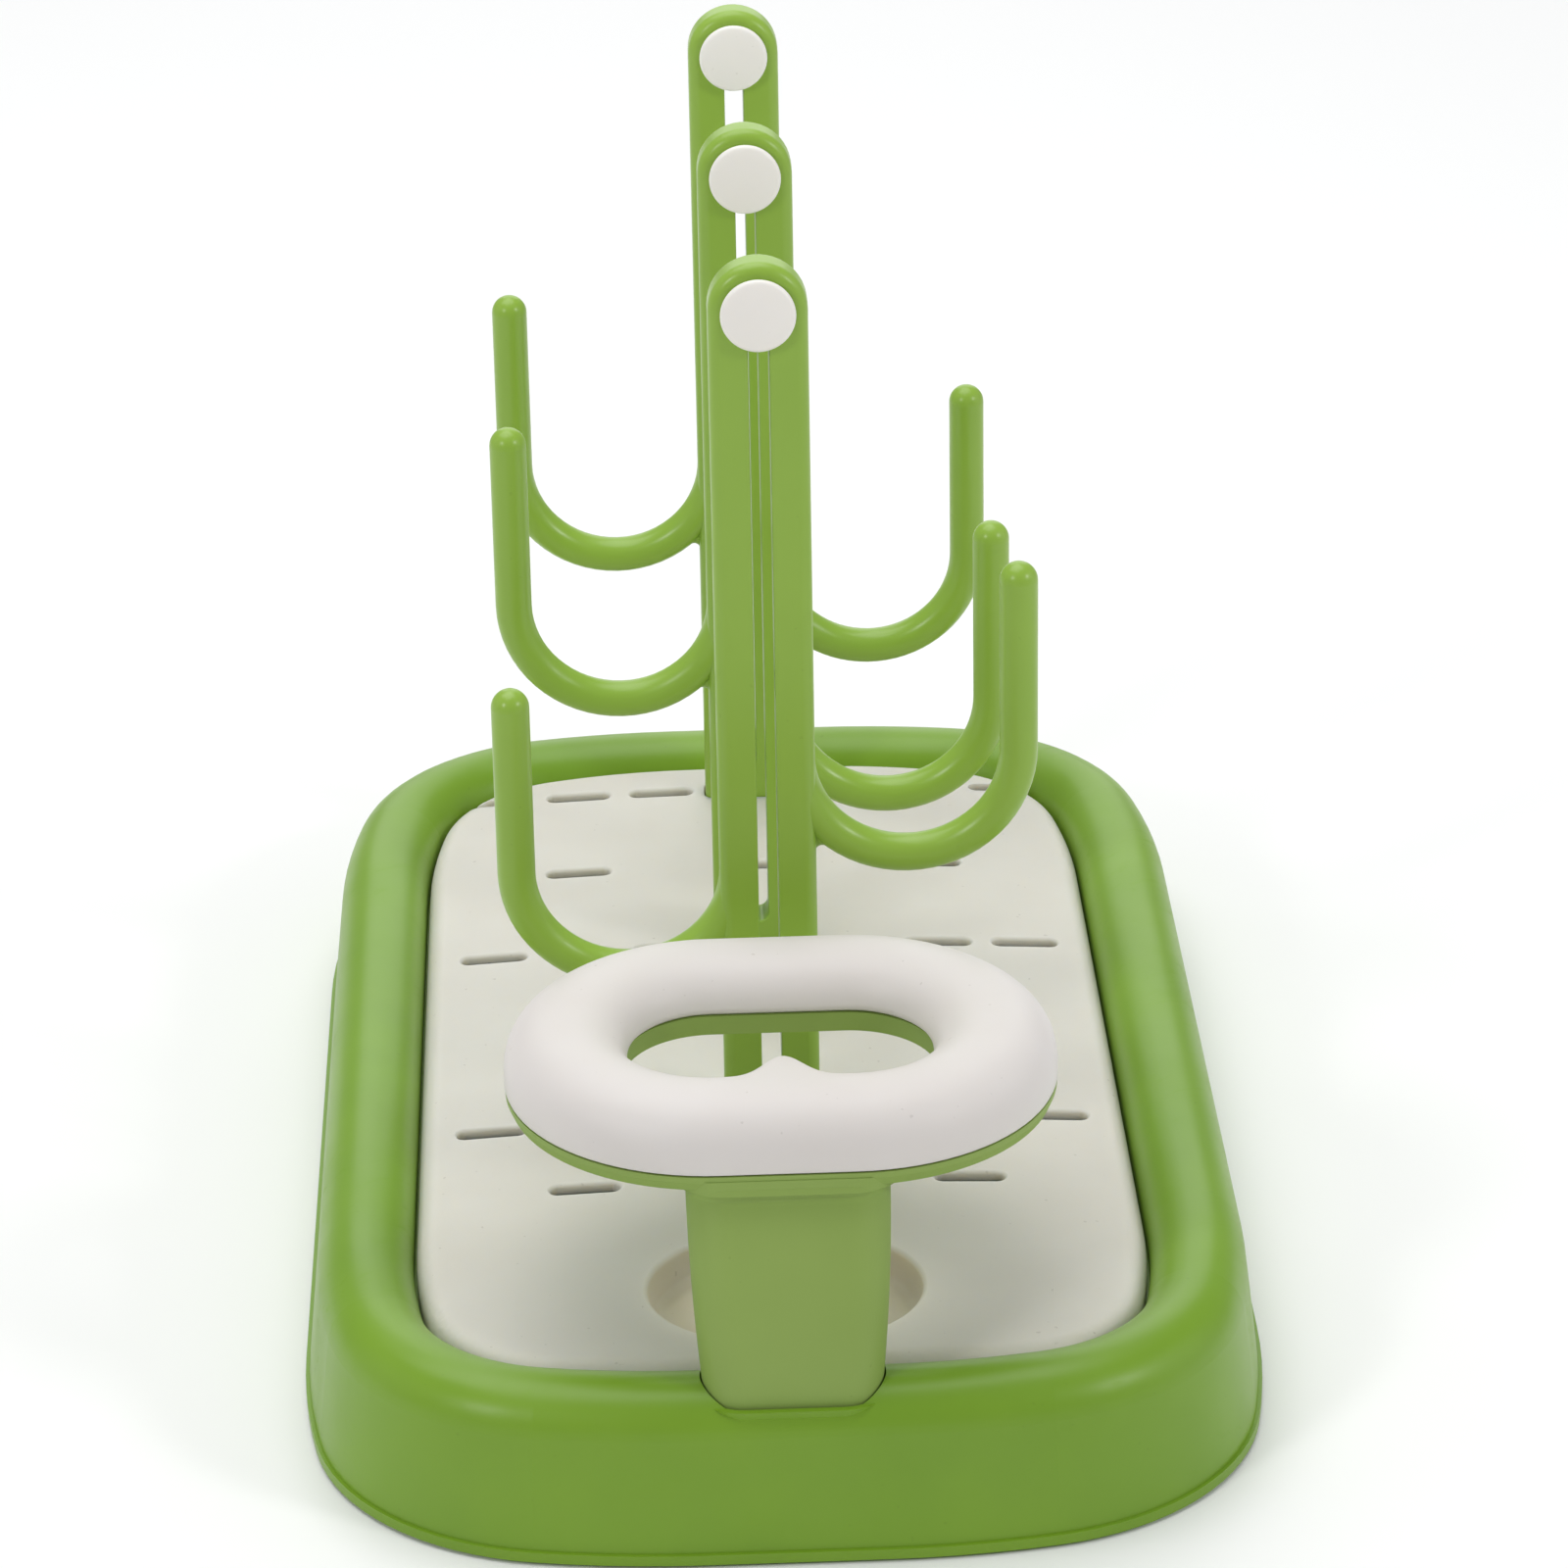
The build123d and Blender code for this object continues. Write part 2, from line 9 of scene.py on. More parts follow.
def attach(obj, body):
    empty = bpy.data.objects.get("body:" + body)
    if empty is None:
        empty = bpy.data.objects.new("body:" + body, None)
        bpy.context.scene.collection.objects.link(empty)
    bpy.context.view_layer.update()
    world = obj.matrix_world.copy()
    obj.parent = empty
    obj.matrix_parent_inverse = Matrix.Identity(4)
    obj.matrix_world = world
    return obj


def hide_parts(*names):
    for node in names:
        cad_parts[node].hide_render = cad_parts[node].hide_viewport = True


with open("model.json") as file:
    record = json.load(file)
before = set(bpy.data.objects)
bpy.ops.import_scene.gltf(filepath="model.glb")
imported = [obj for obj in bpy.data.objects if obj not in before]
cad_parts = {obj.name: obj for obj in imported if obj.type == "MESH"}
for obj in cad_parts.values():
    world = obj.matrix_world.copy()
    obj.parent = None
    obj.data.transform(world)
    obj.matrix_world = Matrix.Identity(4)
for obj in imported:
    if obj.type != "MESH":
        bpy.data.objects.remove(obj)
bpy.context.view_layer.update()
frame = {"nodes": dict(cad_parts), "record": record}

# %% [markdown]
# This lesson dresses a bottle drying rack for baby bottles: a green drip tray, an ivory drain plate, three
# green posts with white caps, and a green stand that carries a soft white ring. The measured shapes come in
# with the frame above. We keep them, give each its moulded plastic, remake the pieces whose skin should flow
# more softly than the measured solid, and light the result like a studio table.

nodes = frame["nodes"]
print("pieces that came in:", sorted(nodes))

# %% [markdown]
# Colours are easiest to read as the eye sees them, from 0 to 255, but shaders mix light, so they want linear
# values. This helper turns one into the other.

# %% Colour helper
def linear(red, green, blue):
    """A colour as seen on a screen, 0-255, turned into the linear RGBA a shader wants."""
    channels = []
    for value in (red, green, blue):
        share = value / 255
        channels.append(share / 12.92 if share <= 0.04045 else ((share + 0.055) / 1.055) ** 2.4)
    return (*channels, 1.0)


print("mid grey in linear light:", round(linear(128, 128, 128)[0], 3))

# %% [markdown]
# Shader nodes made in code soon fill a page, so a few small helpers come first: one for an empty group with
# named sockets, one for a node with its settings, and one each for noise, for mapping a range, for sums and
# for mixing two colours. Everything below is wired with these.

# %% Helpers for shader nodes
def new_group(name, inputs, outputs):
    """An empty shader group with named sockets, and its two end nodes."""
    group = bpy.data.node_groups.new(name, "ShaderNodeTree")
    for label, kind, value in inputs:
        socket = group.interface.new_socket(label, in_out="INPUT", socket_type=kind)
        socket.default_value = value
    for label, kind in outputs:
        group.interface.new_socket(label, in_out="OUTPUT", socket_type=kind)
    entry = group.nodes.new("NodeGroupInput")
    exit_node = group.nodes.new("NodeGroupOutput")
    return group, entry, exit_node


def add(group, kind, **settings):
    """A new node in a group, with its settings and unlinked inputs filled in."""
    node = group.nodes.new(kind)
    for key, value in settings.items():
        if hasattr(node, key):
            setattr(node, key, value)
        else:
            node.inputs[key.replace("_", " ")].default_value = value
    return node


def noise(group, coordinates, scale, detail):
    """Noise of a given fineness on some coordinates; the factor output is the useful one."""
    node = add(group, "ShaderNodeTexNoise", Scale=scale, Detail=detail, Roughness=0.55)
    group.links.new(coordinates, node.inputs["Vector"])
    return node.outputs["Fac"]


def ramp(group, value, low, high, out_low=0.0, out_high=1.0):
    """Maps a value from one range to another and keeps it inside."""
    node = add(group, "ShaderNodeMapRange", clamp=True)
    node.inputs["From Min"].default_value = low
    node.inputs["From Max"].default_value = high
    node.inputs["To Min"].default_value = out_low
    node.inputs["To Max"].default_value = out_high
    group.links.new(value, node.inputs["Value"])
    return node.outputs["Result"]


def combine(group, operation, first, second):
    """Arithmetic on two values; either may be a plain number."""
    node = add(group, "ShaderNodeMath", operation=operation)
    for socket, value in zip(node.inputs, (first, second)):
        if isinstance(value, (int, float)):
            socket.default_value = value
        else:
            group.links.new(value, socket)
    return node.outputs["Value"]


def blend_colour(group, factor, first, second, blend_type="MIX"):
    """Mixes two colours; each may be a socket or an RGBA value."""
    node = add(group, "ShaderNodeMix", data_type="RGBA", blend_type=blend_type)
    for socket, value in zip((node.inputs[0], node.inputs[6], node.inputs[7]), (factor, first, second)):
        if isinstance(value, bpy.types.NodeSocket):
            group.links.new(value, socket)
        else:
            socket.default_value = value
    return node.outputs[2]


print("node helpers ready")

# %% [markdown]
# Every part of this rack is injection moulded, so all the finishes share one skin. Hot plastic copies the
# faint unevenness of the steel, cools at slightly different speeds, and is then handled and wiped. A node
# group holds that once: it takes a colour and hands back a colour that drifts a little, a roughness with
# wipe marks in it, and a normal with the fine pebbling of a satin mould. The noises use object coordinates,
# which are metres here, so a scale of 1500 means pebbles well under a millimetre across.

# %% The shared skin of moulded plastic
SKIN_INPUTS = [
    ("Colour", "NodeSocketColor", (0.5, 0.5, 0.5, 1.0)),
    ("Deep colour", "NodeSocketColor", (0.4, 0.4, 0.4, 1.0)),
    ("Base roughness", "NodeSocketFloat", 0.4),
    ("Wipe marks", "NodeSocketFloat", 0.06),
    ("Dust", "NodeSocketFloat", 0.2),
    ("Pebble", "NodeSocketFloat", 0.1),
]
SKIN_OUTPUTS = [
    ("Colour", "NodeSocketColor"),
    ("Roughness", "NodeSocketFloat"),
    ("Normal", "NodeSocketVector"),
]
DRIFT_SCALE, DRIFT_EDGES = 16.0, (0.35, 0.68)
PATCH_SCALE, PATCH_EDGES = 40.0, (0.42, 0.66)
PATCH_ROUGHNESS = 0.05
WIPE_STRETCH, WIPE_TURN, WIPE_EDGES = (26.0, 420.0, 420.0), (0.2, 0.3, 0.7), (0.56, 0.72)
DUST_SCALE, DUST_EDGES, DUST_TINT = 520.0, (0.765, 0.80), (0.45, 0.42, 0.38, 1.0)
WAVE_SCALE, WAVE_STRENGTH, WAVE_HEIGHT = 70.0, 0.12, 0.0004
PEBBLE_SCALE, PEBBLE_HEIGHT = 1500.0, 0.00008


def make_skin():
    """The group used by every moulded part."""
    group, entry, exit_node = new_group("Moulded skin", SKIN_INPUTS, SKIN_OUTPUTS)
    where = add(group, "ShaderNodeTexCoord").outputs["Object"]
    drift = ramp(group, noise(group, where, DRIFT_SCALE, 3.0), *DRIFT_EDGES)
    colour = blend_colour(group, drift, entry.outputs["Colour"], entry.outputs["Deep colour"])
    turned = add(group, "ShaderNodeMapping", vector_type="TEXTURE")
    turned.inputs["Rotation"].default_value = WIPE_TURN
    turned.inputs["Scale"].default_value = tuple(1 / value for value in WIPE_STRETCH)
    group.links.new(where, turned.inputs["Vector"])
    strokes = ramp(group, noise(group, turned.outputs["Vector"], 1.0, 4.0), *WIPE_EDGES)
    patches = ramp(group, noise(group, where, PATCH_SCALE, 2.0), *PATCH_EDGES)
    wiped = combine(group, "MULTIPLY", strokes, patches)
    rough = combine(group, "MULTIPLY", wiped, entry.outputs["Wipe marks"])
    rough = combine(group, "ADD", rough, entry.outputs["Base roughness"])
    slow = combine(group, "MULTIPLY", combine(group, "SUBTRACT", patches, 0.5), PATCH_ROUGHNESS)
    rough = combine(group, "ADD", rough, slow)
    specks = ramp(group, noise(group, where, DUST_SCALE, 1.0), *DUST_EDGES)
    specks = combine(group, "MULTIPLY", specks, entry.outputs["Dust"])
    speck_colour = blend_colour(group, 1.0, colour, DUST_TINT, "MULTIPLY")
    colour = blend_colour(group, specks, colour, speck_colour)
    wave = add(group, "ShaderNodeBump", Strength=WAVE_STRENGTH, Distance=WAVE_HEIGHT)
    group.links.new(noise(group, where, WAVE_SCALE, 2.0), wave.inputs["Height"])
    pebble = add(group, "ShaderNodeBump", Distance=PEBBLE_HEIGHT)
    group.links.new(entry.outputs["Pebble"], pebble.inputs["Strength"])
    group.links.new(noise(group, where, PEBBLE_SCALE, 2.0), pebble.inputs["Height"])
    group.links.new(wave.outputs["Normal"], pebble.inputs["Normal"])
    group.links.new(colour, exit_node.inputs["Colour"])
    group.links.new(rough, exit_node.inputs["Roughness"])
    group.links.new(pebble.outputs["Normal"], exit_node.inputs["Normal"])
    return group


skin = make_skin()
print("skin group sockets:", [item.name for item in skin.interface.items_tree])

# %% [markdown]
# A plastic is the skin group wired into one Principled shader. What the light does at the surface stays on
# the shader's own sockets: how strongly it mirrors, how much light sinks in and comes back softened.
# Coloured polypropylene lets light in a fraction of a millimetre, which is why its shadows look warm.

# %% Plastic maker
PLASTIC_IOR = 1.49
SCATTER_TINT = (1.0, 0.9, 0.75)


def plastic(name, colour, deep, rough, wipe, dust, pebble, specular, scatter=0.0, depth=0.002):
    """A moulded plastic with the shared skin."""
    material = bpy.data.materials.new(name)
    material.use_nodes = True
    tree = material.node_tree
    shader = tree.nodes["Principled BSDF"]
    group = tree.nodes.new("ShaderNodeGroup")
    group.node_tree = skin
    group.inputs["Colour"].default_value = colour
    group.inputs["Deep colour"].default_value = deep
    group.inputs["Base roughness"].default_value = rough
    group.inputs["Wipe marks"].default_value = wipe
    group.inputs["Dust"].default_value = dust
    group.inputs["Pebble"].default_value = pebble
    tree.links.new(group.outputs["Colour"], shader.inputs["Base Color"])
    tree.links.new(group.outputs["Roughness"], shader.inputs["Roughness"])
    tree.links.new(group.outputs["Normal"], shader.inputs["Normal"])
    shader.inputs["Specular IOR Level"].default_value = specular
    shader.inputs["IOR"].default_value = PLASTIC_IOR
    shader.inputs["Subsurface Weight"].default_value = scatter
    shader.inputs["Subsurface Radius"].default_value = SCATTER_TINT
    shader.inputs["Subsurface Scale"].default_value = depth
    return material


print("plastics bend light by", PLASTIC_IOR)

# %% [markdown]
# Now the seven finishes. The tray and posts are a bright satin green, the stand is the same family but
# matt and greyer, the plate is ivory, the caps and the ring are a warm white, and the feet are grey rubber.
# The ivory lets light in deepest: that is what keeps the walls of its slots from going black.

# %% The finishes
finishes = {
    "green_base": plastic(
        "Tray green", linear(123, 162, 38), linear(116, 155, 36),
        rough=0.38, wipe=0.10, dust=0.15, pebble=0.10, specular=0.45,
    ),
    "green_post": plastic(
        "Post green", linear(146, 182, 66), linear(140, 176, 61),
        rough=0.32, wipe=0.10, dust=0.12, pebble=0.08, specular=0.5,
    ),
    "green_stand": plastic(
        "Stand green", linear(143, 168, 86), linear(137, 162, 80),
        rough=0.55, wipe=0.08, dust=0.15, pebble=0.22, specular=0.35,
    ),
    "ivory_plate": plastic(
        "Plate ivory", linear(215, 211, 201), linear(210, 205, 194),
        rough=0.50, wipe=0.10, dust=0.30, pebble=0.14, specular=0.4,
        scatter=0.9, depth=0.0065,
    ),
    "white_knob": plastic(
        "Cap white", linear(247, 243, 237), linear(243, 238, 231),
        rough=0.38, wipe=0.06, dust=0.15, pebble=0.06, specular=0.5,
        scatter=0.15,
    ),
    "white_cover": plastic(
        "Ring white", linear(223, 218, 214), linear(219, 213, 208),
        rough=0.48, wipe=0.08, dust=0.25, pebble=0.12, specular=0.4,
        scatter=0.15,
    ),
    "rubber_foot": plastic(
        "Foot rubber", linear(120, 120, 118), linear(108, 108, 106),
        rough=0.80, wipe=0.05, dust=0.4, pebble=0.3, specular=0.25,
    ),
}
slot_of = {part["node"]: part["material_slot"] for part in frame["record"]["subparts"]}
for name, piece in nodes.items():
    piece.material_slots[0].material = finishes[slot_of[name]]
print("finishes:", {name: slot_of[name] for name in sorted(nodes)})

# %% [markdown]
# The dish is a hollow, so its inside is painted a little darker and browner than the rest of the plate. This
# is painted shade, with the warm cast of light bounced off the ivory and the green stand painted in as well.
# The painted shade is a mask in the plate's own material: one inside the oval and below the crown, fading out
# at the edge.

# %% The painted shade in the dish
DISH_MIDDLE = (0.0, -0.1208, 0.0)
DISH_RADII = (0.0320, 0.0270, 1.0)
DISH_EDGES = (1.06, 0.99)
SHADE_TOP = 0.0349
SHADE_FADE = 0.0012
SHADE_SCALE, SHADE_EDGES, SHADE_AMOUNTS = 90.0, (0.3, 0.7), (0.75, 1.0)
SHADE_INPUTS = [
    ("Colour", "NodeSocketColor", (0.5, 0.5, 0.5, 1.0)),
    ("Painted shade colour", "NodeSocketColor", (0.5, 0.5, 0.5, 1.0)),
]


def make_dish_shade():
    """A group that paints shade, with a warm bounced cast, into a colour inside the dish."""
    group, entry, exit_node = new_group("Dish painted shade", SHADE_INPUTS, [("Colour", "NodeSocketColor")])
    where = add(group, "ShaderNodeTexCoord").outputs["Object"]
    oval = add(group, "ShaderNodeMapping", vector_type="TEXTURE")
    oval.inputs["Location"].default_value = DISH_MIDDLE
    oval.inputs["Scale"].default_value = DISH_RADII
    group.links.new(where, oval.inputs["Vector"])
    flat = add(group, "ShaderNodeVectorMath", operation="MULTIPLY")
    flat.inputs[1].default_value = (1.0, 1.0, 0.0)
    group.links.new(oval.outputs["Vector"], flat.inputs[0])
    far = add(group, "ShaderNodeVectorMath", operation="LENGTH")
    group.links.new(flat.outputs["Vector"], far.inputs[0])
    inside = ramp(group, far.outputs["Value"], *DISH_EDGES)
    parts = add(group, "ShaderNodeSeparateXYZ")
    group.links.new(where, parts.inputs["Vector"])
    below = ramp(group, parts.outputs["Z"], SHADE_TOP, SHADE_TOP - SHADE_FADE)
    uneven = ramp(group, noise(group, where, SHADE_SCALE, 3.0), *SHADE_EDGES, *SHADE_AMOUNTS)
    # Painted shade: darker and warmer inside the oval and below the crown, a little uneven.
    amount = combine(group, "MULTIPLY", combine(group, "MULTIPLY", inside, below), uneven)
    tint = blend_colour(group, 1.0, entry.outputs["Colour"], entry.outputs["Painted shade colour"], "MULTIPLY")
    group.links.new(blend_colour(group, amount, entry.outputs["Colour"], tint), exit_node.inputs["Colour"])
    return group


def paint_dish_shade(material, shade_colour):
    """Puts the painted-shade group between a material's skin and its shader."""
    tree = material.node_tree
    dish_shade = tree.nodes.new("ShaderNodeGroup")
    dish_shade.node_tree = make_dish_shade()
    dish_shade.inputs["Painted shade colour"].default_value = shade_colour
    base = tree.nodes["Principled BSDF"].inputs["Base Color"]
    tree.links.new(base.links[0].from_socket, dish_shade.inputs["Colour"])
    tree.links.new(dish_shade.outputs["Colour"], base)


# Paints shade and a warm bounced cast into the inside of the dish.
paint_dish_shade(finishes["ivory_plate"], linear(247, 241, 225))
print("painted shade laid in the dish")

# %% [markdown]
# The white ring cover is a soft shell, fat like a swimming ring, that clips over the green trough. It was
# moulded in one shot, so nothing on it has a hard corner: the top is a flattened half round, the lower edges
# are rolled, and on the near side the skin swells into a small cusp that keeps two bottle parts apart. We
# draw its closed section once, carry it round the oval with spins and straight runs, then push the cusp out
# of the finished skin, so that it grows from the ring instead of being stuck on.

# %% The section of the ring cover
RING_MIDDLE = Vector((0.0, -0.1173, 0.0))
RING_HALF_X = 0.0470
RING_HALF_Y = 0.0330
RING_BEND = 0.0324
SECTION_HALF = 0.0130
SECTION_SPRING = 0.0883
SECTION_TOP = 0.1003
OUTER_EDGE = 0.0858
INNER_EDGE = 0.0899
SHELL_WALL = 0.0022
EDGE_ROLL = 0.0006
FULLNESS = 2.25
OUTER_STEPS, INNER_STEPS = 40, 24


def dome_points(shrink, count):
    """Flattened half round, outer side first; shrink gives the inner face of the shell."""
    points = []
    half = SECTION_HALF - shrink
    rise = SECTION_TOP - shrink - SECTION_SPRING
    for step in range(count + 1):
        turn = math.pi * step / count
        across = math.copysign(abs(math.cos(turn)) ** (2 / FULLNESS), math.cos(turn)) * half
        height = SECTION_SPRING + abs(math.sin(turn)) ** (2 / FULLNESS) * rise
        points.append((across, height))
    return points


def cover_section():
    """Closed section of the shell: outer skin, rolled inner edge, inner face, rolled outer edge."""
    outside = dome_points(0.0, OUTER_STEPS)
    outside = [point for point in outside if point[0] > 0 or point[1] > INNER_EDGE + EDGE_ROLL]
    inside = dome_points(SHELL_WALL, INNER_STEPS)
    inside = [point for point in inside if point[0] > 0 or point[1] > INNER_EDGE]
    low_in = [(outside[-1][0] + EDGE_ROLL, INNER_EDGE), (inside[-1][0], INNER_EDGE)]
    low_out = [(SECTION_HALF - SHELL_WALL, OUTER_EDGE), (SECTION_HALF - EDGE_ROLL, OUTER_EDGE)]
    low_out.append((SECTION_HALF - 0.3 * EDGE_ROLL, OUTER_EDGE + 0.3 * EDGE_ROLL))
    low_out.append((SECTION_HALF, OUTER_EDGE + EDGE_ROLL))
    return outside + low_in + inside[::-1] + low_out


section = cover_section()
print("points round the section:", len(section))

# %% [markdown]
# Carrying a section is always the same job, so it gets a helper: a run either slides the open end along a
# line or swings it round a centre, and each run starts from the edges that the last one left. The far side
# is plain and needs few steps; the near side gets three times as many, as the cusp is pushed out there.

# %% The sweep
MERGE_WITHIN = 0.00002


def vertices_of(edges):
    """The vertices of some edges, each once, in the order that the edges come in."""
    return list(dict.fromkeys(vert for edge in edges for vert in edge.verts))


def slide(bm, edges, travel, steps):
    """Extrudes an open end along a straight line in equal steps; returns the new end."""
    for _ in range(steps):
        made = bmesh.ops.extrude_edge_only(bm, edges=edges)["geom"]
        edges = [item for item in made if isinstance(item, bmesh.types.BMEdge)]
        moved = {vert for vert in made if isinstance(vert, bmesh.types.BMVert)}
        edges = [edge for edge in edges if edge.verts[0] in moved and edge.verts[1] in moved]
        bmesh.ops.translate(bm, verts=list(moved), vec=travel / steps)
    return edges


def swing(bm, edges, centre, angle, steps):
    """Spins an open end round an upright axis; returns the new end."""
    geometry = vertices_of(edges) + edges
    made = bmesh.ops.spin(
        bm, geom=geometry, cent=centre, axis=(0, 0, 1), angle=angle, steps=steps, use_merge=False
    )["geom_last"]
    return [item for item in made if isinstance(item, bmesh.types.BMEdge)]


def carry_round(bm, points, middle, half_x, half_y, bend, fine):
    """Carries a closed section round a rounded rectangle and joins the two ends."""
    start = middle + Vector((half_x, 0, 0))
    verts = [bm.verts.new(start + Vector((across, 0, height))) for across, height in points]
    edges = [bm.edges.new(pair) for pair in zip(verts, verts[1:] + verts[:1])]
    long_run = 2 * (half_x - bend)
    short_run = half_y - bend
    edges = slide(bm, edges, Vector((0, short_run, 0)), 1)
    for side_x, side_y in ((1, 1), (-1, 1), (-1, -1), (1, -1)):
        centre = middle + Vector((side_x * (half_x - bend), side_y * short_run, 0))
        edges = swing(bm, edges, centre, math.pi / 2, fine)
        if side_x == side_y:
            steps = fine if side_y > 0 else 3 * fine
            edges = slide(bm, edges, Vector((-side_x * long_run, 0, 0)), steps)
        elif side_x < 0:
            edges = slide(bm, edges, Vector((0, -2 * short_run, 0)), 1)
    slide(bm, edges, Vector((0, short_run, 0)), 1)
    bmesh.ops.remove_doubles(bm, verts=bm.verts, dist=MERGE_WITHIN)
    bmesh.ops.recalc_face_normals(bm, faces=bm.faces)


def finish_piece(bm, name, body, slot_name):
    """Turns a bmesh into a smooth-shaded object that rides on a body and wears a finish."""
    mesh = bpy.data.meshes.new(name)
    bm.to_mesh(mesh)
    bm.free()
    for face in mesh.polygons:
        face.use_smooth = True
    piece = bpy.data.objects.new(name, mesh)
    bpy.context.scene.collection.objects.link(piece)
    mesh.materials.append(finishes[slot_name])
    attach(piece, body)
    return piece


print("sweep tools ready")

# %% [markdown]
# The cusp is a push with a bell-shaped spread along the ring. Across the ring the push fades in from the
# crown, so the top skin stretches smoothly towards the hole and the far half doesn't move. The two ends of
# the hole are pulled in by a millimetre in the same way, because the real hole is a little shorter than the
# outside would suggest.

# %% The ring cover
CUSP_REACH = 0.0112
CUSP_SPREAD = 0.0058
CUSP_DROP = 0.0012
CUSP_BEHIND = 0.006
END_PULL = 0.0010
PULL_START, PULL_RUN = 0.3, 0.5
INWARD_START, INWARD_RUN = 0.0025, 0.0095
CORNER_STEPS = 22


def across_ring(point):
    """How far a point is outward from the ring's centre line, seen from above."""
    side_x = abs(point.x - RING_MIDDLE.x) - (RING_HALF_X - RING_BEND)
    side_y = abs(point.y - RING_MIDDLE.y) - (RING_HALF_Y - RING_BEND)
    return math.hypot(max(side_x, 0.0), max(side_y, 0.0)) - RING_BEND


def smooth_step(value):
    """Eases from 0 to 1."""
    value = min(max(value, 0.0), 1.0)
    return value * value * (3 - 2 * value)


cover_mesh = bmesh.new()
carry_round(
    cover_mesh, section, RING_MIDDLE, RING_HALF_X, RING_HALF_Y, RING_BEND, CORNER_STEPS
)
for vert in cover_mesh.verts:
    inward = smooth_step((INWARD_START - across_ring(vert.co)) / INWARD_RUN)
    towards_end = smooth_step((abs(vert.co.x) / RING_HALF_X - PULL_START) / PULL_RUN)
    vert.co.x -= math.copysign(END_PULL, vert.co.x) * inward * towards_end
    if vert.co.y < RING_MIDDLE.y - CUSP_BEHIND:
        bell = math.exp(-((vert.co.x / CUSP_SPREAD) ** 2)) * inward
        vert.co.y += CUSP_REACH * bell
        vert.co.z -= CUSP_DROP * bell
ring_cover = finish_piece(cover_mesh, "ring_cover_soft", "cover", "white_cover")
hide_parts("ring_cover")
print("ring cover:", len(ring_cover.data.polygons), "faces")

# %% [markdown]
# Each post wears two caps that snap together through its slot, one on either face. A cap is a little
# mushroom: a flat dome with a rolled rim, cut in underneath so that a thin dark gap shows between it and the
# post. It is a turned shape, so half of its outline spun round its own axis makes it.

# %% The caps
CAP_HEIGHT = 0.2350
CAP_RADIUS = 0.0083
CAP_FACE = 0.0047
CAP_RIM = 0.0010
CAP_DOME = 0.0009
CAP_NECK = 0.0044
CAP_GAP = 0.0005
CAP_UNDER = 0.0006
RIM_HEIGHT = 0.0016
RIM_STEPS, DOME_STEPS, TURN_STEPS = 8, 10, 56
CAP_MERGE = 0.000004
POST_PLACES = {"front": -0.0428, "middle": 0.0472, "rear": 0.1372}


def cap_outline():
    """Half outline of a cap, radius against height over the post's face, from neck to dome."""
    points = [(CAP_NECK, 0.0), (CAP_NECK, CAP_GAP), (CAP_RADIUS - 2.0 * CAP_RIM, CAP_UNDER)]
    for step in range(RIM_STEPS + 1):
        turn = math.radians(160 * step / RIM_STEPS - 80)
        across = CAP_RADIUS - CAP_RIM + CAP_RIM * math.cos(turn)
        points.append((across, RIM_HEIGHT + CAP_RIM * math.sin(turn)))
    shoulder, height = points[-1]
    for step in range(1, DOME_STEPS):
        share = 1 - step / DOME_STEPS
        points.append((shoulder * share, height + (1 - share * share) * CAP_DOME))
    return points


def make_cap(name, body, y, facing):
    """One cap; facing is -1 on the near face of the post and 1 on the far face."""
    bm = bmesh.new()
    centre = Vector((0.0, y + facing * CAP_FACE, CAP_HEIGHT))
    outline = cap_outline()
    verts = [bm.verts.new(centre + Vector((across, facing * rise, 0))) for across, rise in outline]
    edges = [bm.edges.new(pair) for pair in zip(verts, verts[1:])]
    top = bm.verts.new(centre + Vector((0, facing * (outline[-1][1] + 0.01 * CAP_DOME), 0)))
    edges.append(bm.edges.new((verts[-1], top)))
    bmesh.ops.spin(
        bm, geom=verts + [top] + edges, cent=centre, axis=(0, 1, 0),
        angle=2 * math.pi, steps=TURN_STEPS, use_merge=True
    )
    bmesh.ops.remove_doubles(bm, verts=bm.verts, dist=CAP_MERGE)
    open_edges = [edge for edge in bm.edges if edge.is_boundary]
    bmesh.ops.holes_fill(bm, edges=open_edges, sides=0)
    bmesh.ops.recalc_face_normals(bm, faces=bm.faces)
    return finish_piece(bm, name, body, "white_knob")


for post, y in POST_PLACES.items():
    for side, facing in (("face", -1), ("back", 1)):
        cap = make_cap(f"knob_{post}_{side}_soft", f"{post}_post", y, facing)
        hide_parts(f"knob_{post}_{side}")
print("caps:", 2 * len(POST_PLACES))

# %% [markdown]
# Seen close up, the drain slots of the plate don't end in a knife edge: their mouths are rounded, and the
# light runs down over the lip. The measured plate has plain slots, so we remake the plate from it. A copy of
# its mesh is merged into one skin, the closed loops of edges round the slot mouths are picked out by their
# length and by the way the two faces beside them look, and a bevel rolls them over. The normals that came
# with the measured mesh no longer fit the new one, so they are dropped, and a Weighted Normal modifier evens
# out the shading.

# %% The slots' lips
LIP_ROLL = 0.0009
LIP_STEPS = 4
MOUTH_LOW = 0.0325
MOUTH_LENGTH = (0.015, 0.017)
CROWN_LEVEL = 0.85
WALL_LEVEL = 0.3
COPY_MERGE = 0.000001
SHARP_ANGLE = 35


def is_mouth(edge):
    """True where the crown of the plate turns down into an upright wall."""
    if len(edge.link_faces) != 2 or edge.verts[0].co.z < MOUTH_LOW:
        return False
    wall, crown = sorted(face.normal.z for face in edge.link_faces)
    return crown > CROWN_LEVEL and abs(wall) < WALL_LEVEL


def edge_loops(edges):
    """Sorts edges into connected runs, in the order that they come in."""
    waiting = set(edges)
    runs = []
    for first in edges:
        if first not in waiting:
            continue
        waiting.remove(first)
        run = [first]
        for edge in run:
            for other in (other for vert in edge.verts for other in vert.link_edges):
                if other in waiting:
                    waiting.remove(other)
                    run.append(other)
        runs.append(run)
    return runs


